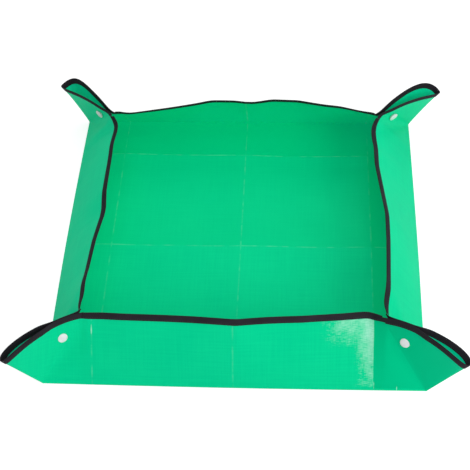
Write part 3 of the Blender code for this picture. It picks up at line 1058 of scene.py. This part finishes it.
def tape_rings(panel, section, travelled):
    """Places of the tape's section at each column of a panel's grid."""
    places = panel.places
    edge = places[-1]
    normals = grid_normals(places)
    depth = np.linalg.norm(edge[None] - places, axis=-1)
    tangent = unit_rows(np.gradient(edge, axis=0))
    slant = unit_rows(edge - places[-2])
    rings = []
    for column in range(len(edge)):
        away = np.cross(normals[-1, column], tangent[column])
        away = away if away @ slant[column] >= 0 else -away
        from_crease = travelled[column]
        if panel.name.endswith("_wall"):
            from_crease = min(from_crease, travelled[-1] - from_crease)
        own = smooth_share(from_crease / MITRE_REACH)
        square = max(abs(slant[column] @ away), LEAST_SLANT) * own + MITRE_SLANT * (1 - own)
        ring = []
        for inward, lift in section:
            if inward <= 0:
                base, normal = edge[column] - away * inward, normals[-1, column]
            else:
                reach = inward / square
                base = read_down(reach, depth[:, column], places[:, column])
                normal = read_down(reach, depth[:, column], normals[:, column])
            ring.append(base + normal * lift)
        rings.append(ring)
    return np.array(rings)


def make_tape(panel, surface):
    """Folds a length of tape round a panel's free edge."""
    tape = bpy.context.scene.mat_tape
    section = tape_section(tape.width, tape.thickness)
    steps = np.linalg.norm(np.diff(panel.places[-1], axis=0), axis=-1)
    travelled = np.concatenate([[0], np.cumsum(steps)])
    points = tape_rings(panel, section, travelled)
    columns, count = points.shape[:2]
    index = np.arange(columns * count).reshape(columns, count)
    following = np.roll(index, -1, axis=1)
    quads = np.stack([index[:-1], following[:-1], following[1:], index[1:]], axis=-1).reshape(-1, 4)
    faces = quads.tolist() + [index[0].tolist()[::-1], index[-1].tolist()]
    values = np.zeros((columns, count, 3))
    values[..., 0] = travelled[:, None]
    values[..., 1] = np.sign(section[:, 1]) * np.maximum(section[:, 0], 0)
    points, values = points.reshape(-1, 3), values.reshape(-1, 3)
    made = make_mesh(panel.name + "_tape", points, faces, "tape_place", values, surface)
    ride_panel(panel, made, panel.name + "_binding")


class MAT_OT_bind_edge(bpy.types.Operator):
    """Binds the sheet's edge with folded tape"""

    bl_idname = "repotting_mat.bind_edge"
    bl_label = "Bind edge"

    def execute(self, context):
        black = woven_black()
        panels = [wall_panel(name) for name in OUTWARD]
        for corner in CORNERS:
            panels += ear_panels(corner)
        for panel in panels:
            make_tape(panel, black)
        return {"FINISHED"}


class MAT_OT_finish_snaps(bpy.types.Operator):
    """Gives the press-snaps their moulded finish"""

    bl_idname = "repotting_mat.finish_snaps"
    bl_label = "Finish snaps"

    def execute(self, context):
        white = moulded_white()
        for name, node in frame["nodes"].items():
            if "_snap_" in name:
                for entry in node.material_slots:
                    entry.material = white
        return {"FINISHED"}


# Soft lamps: name, size, watts, place and the point that each faces
LAMPS = (
    ("key_softbox", (1.2, 1.2), 25.5, (1.7, -1.25, 1.3), (0.05, 0, 0)),
    ("front_softbox", (1.6, 0.9), 6.5, (0.1, -2.3, 1.25), (0, 0.1, 0)),
    ("top_softbox", (2.0, 2.0), 9, (0, 0.2, 2.1), (0, 0, 0)),
    ("back_softbox", (1.2, 0.8), 6, (0.4, 1.5, 1.3), (0, 0.1, 0)),
)

# Ground: how far it lies below the mat, and the glow and the grey that the camera sees
GROUND_DROP = 0.0006
GROUND_ROUGHNESS = 0.9
GROUND_GLOW = 0.78
GROUND_GREY = (0.42, 0.42, 0.42, 1)
WHITE = (1, 1, 1, 1)


def add_light(name, size, watts, place, target):
    lamp = bpy.data.lights.new(name, "AREA")
    lamp.shape = "RECTANGLE"
    lamp.size, lamp.size_y = size
    lamp.energy = watts
    made = bpy.data.objects.new(name, lamp)
    made.location = place
    made.rotation_euler = (Vector(target) - Vector(place)).to_track_quat("-Z", "Y").to_euler()
    bpy.context.scene.collection.objects.link(made)


# Camera of the photograph: its angles, its distance from the point it faces, and its focal length
VIEW_AZIMUTH = math.radians(-4.93)
VIEW_ELEVATION = math.radians(49.59)
VIEW_ROLL = math.radians(-2.99)
VIEW_DISTANCE = 1.8959
VIEW_TARGET = Vector((-0.0103, 0.0158, 0.0))
VIEW_FOCAL_SHARE = 1194.1 / 470
SENSOR_WIDTH = 36.0


def add_camera():
    """Sets the camera where the photograph was taken from."""
    ahead = Vector((
        math.sin(VIEW_AZIMUTH) * math.cos(VIEW_ELEVATION),
        math.cos(VIEW_AZIMUTH) * math.cos(VIEW_ELEVATION),
        -math.sin(VIEW_ELEVATION),
    ))
    level = Vector((math.cos(VIEW_AZIMUTH), -math.sin(VIEW_AZIMUTH), 0))
    upright = level.cross(ahead)
    right = level * math.cos(VIEW_ROLL) + upright * math.sin(VIEW_ROLL)
    top = upright * math.cos(VIEW_ROLL) - level * math.sin(VIEW_ROLL)
    camera = bpy.data.cameras.new("photo_camera")
    camera.sensor_fit = "HORIZONTAL"
    camera.sensor_width = SENSOR_WIDTH
    camera.lens = SENSOR_WIDTH * VIEW_FOCAL_SHARE
    made = bpy.data.objects.new("photo_camera", camera)
    turn = Matrix((right, top, -ahead)).transposed().to_4x4()
    made.matrix_world = Matrix.Translation(VIEW_TARGET - ahead * VIEW_DISTANCE) @ turn
    bpy.context.scene.collection.objects.link(made)
    bpy.context.scene.camera = made


def add_ground(stage):
    """Lays the pale ground. The camera sees it near white, with the mat's soft shadow."""
    side = stage.ground_size / 2
    spots = ((-side, -side), (side, -side), (side, side), (-side, side))
    points = np.array([(x, y, -GROUND_DROP) for x, y in spots])
    board = Board("pale_ground")
    colour = (*stage.ground_colour, 1)
    board.surface(base_color=colour, roughness=GROUND_ROUGHNESS, specular_ior_level=0.0)
    looked_at = board.node("ShaderNodeLightPath", {}, (), "Is Camera Ray")
    glow = board.node("ShaderNodeEmission", {}, {"Color": WHITE, "Strength": GROUND_GLOW})
    diffuse = board.node("ShaderNodeBsdfDiffuse", {}, {"Color": GROUND_GREY})
    seen = board.node("ShaderNodeAddShader", {}, (glow, diffuse))
    lit = Wire(board, board.shader.outputs[0])
    mixed = board.node("ShaderNodeMixShader", {}, (looked_at, lit, seen))
    board.plug(board.tree.nodes["Material Output"].inputs["Surface"], mixed)
    make_mesh("ground", points, [[0, 1, 2, 3]], "ground_place", points, board.material)


def add_sky(stage):
    """Lights the mat evenly from all round. The camera sees plain white."""
    world = bpy.data.worlds.new("even_sky")
    world.use_nodes = True
    bpy.context.scene.world = world
    tree = world.node_tree
    sky = tree.nodes["Background"]
    seen_sky = tree.nodes.new("ShaderNodeBackground")
    for background, strength in ((sky, stage.sky_strength), (seen_sky, 1.0)):
        background.inputs["Color"].default_value = WHITE
        background.inputs["Strength"].default_value = strength
    path = tree.nodes.new("ShaderNodeLightPath")
    mix = tree.nodes.new("ShaderNodeMixShader")
    tree.links.new(path.outputs["Is Camera Ray"], mix.inputs[0])
    tree.links.new(sky.outputs[0], mix.inputs[1])
    tree.links.new(seen_sky.outputs[0], mix.inputs[2])
    tree.links.new(mix.outputs[0], tree.nodes["World Output"].inputs["Surface"])


class MAT_OT_set_stage(bpy.types.Operator):
    """Sets the ground, the soft light and the camera"""

    bl_idname = "repotting_mat.set_stage"
    bl_label = "Set stage"

    def execute(self, context):
        context.scene.view_settings.view_transform = "Standard"
        add_ground(context.scene.mat_stage)
        add_sky(context.scene.mat_stage)
        for lamp in LAMPS:
            add_light(*lamp)
        add_camera()
        return {"FINISHED"}


class MAT_PT_panel(bpy.types.Panel):
    """Lists the steps that make the mat"""

    bl_idname = "MAT_PT_panel"
    bl_label = "Repotting Mat"
    bl_space_type = "VIEW_3D"
    bl_region_type = "UI"
    bl_category = "Repotting Mat"

    def draw(self, context):
        for settings in ("mat_sheet", "mat_tape", "mat_snap", "mat_stage"):
            group = getattr(context.scene, settings)
            box = self.layout.box()
            for name in group.__annotations__:
                box.prop(group, name)
        for step in STEPS:
            self.layout.operator(step.bl_idname)


STEPS = (
    MAT_OT_lay_floor,
    MAT_OT_fold_walls,
    MAT_OT_pinch_ears,
    MAT_OT_bind_edge,
    MAT_OT_finish_snaps,
    MAT_OT_set_stage,
)
GROUPS = {
    "mat_sheet": SheetSettings,
    "mat_tape": TapeSettings,
    "mat_snap": SnapSettings,
    "mat_stage": StageSettings,
}


def register():
    for group in GROUPS.values():
        bpy.utils.register_class(group)
    for name, group in GROUPS.items():
        setattr(bpy.types.Scene, name, PointerProperty(type=group))
    for step in STEPS:
        bpy.utils.register_class(step)
    bpy.utils.register_class(MAT_PT_panel)


def unregister():
    bpy.utils.unregister_class(MAT_PT_panel)
    for step in reversed(STEPS):
        bpy.utils.unregister_class(step)
    for name in GROUPS:
        delattr(bpy.types.Scene, name)
    for group in GROUPS.values():
        bpy.utils.unregister_class(group)


def main():
    register()
    bpy.ops.repotting_mat.lay_floor()
    bpy.ops.repotting_mat.fold_walls()
    bpy.ops.repotting_mat.pinch_ears()
    bpy.ops.repotting_mat.bind_edge()
    bpy.ops.repotting_mat.finish_snaps()
    bpy.ops.repotting_mat.set_stage()


if __name__ == "__main__":
    main()
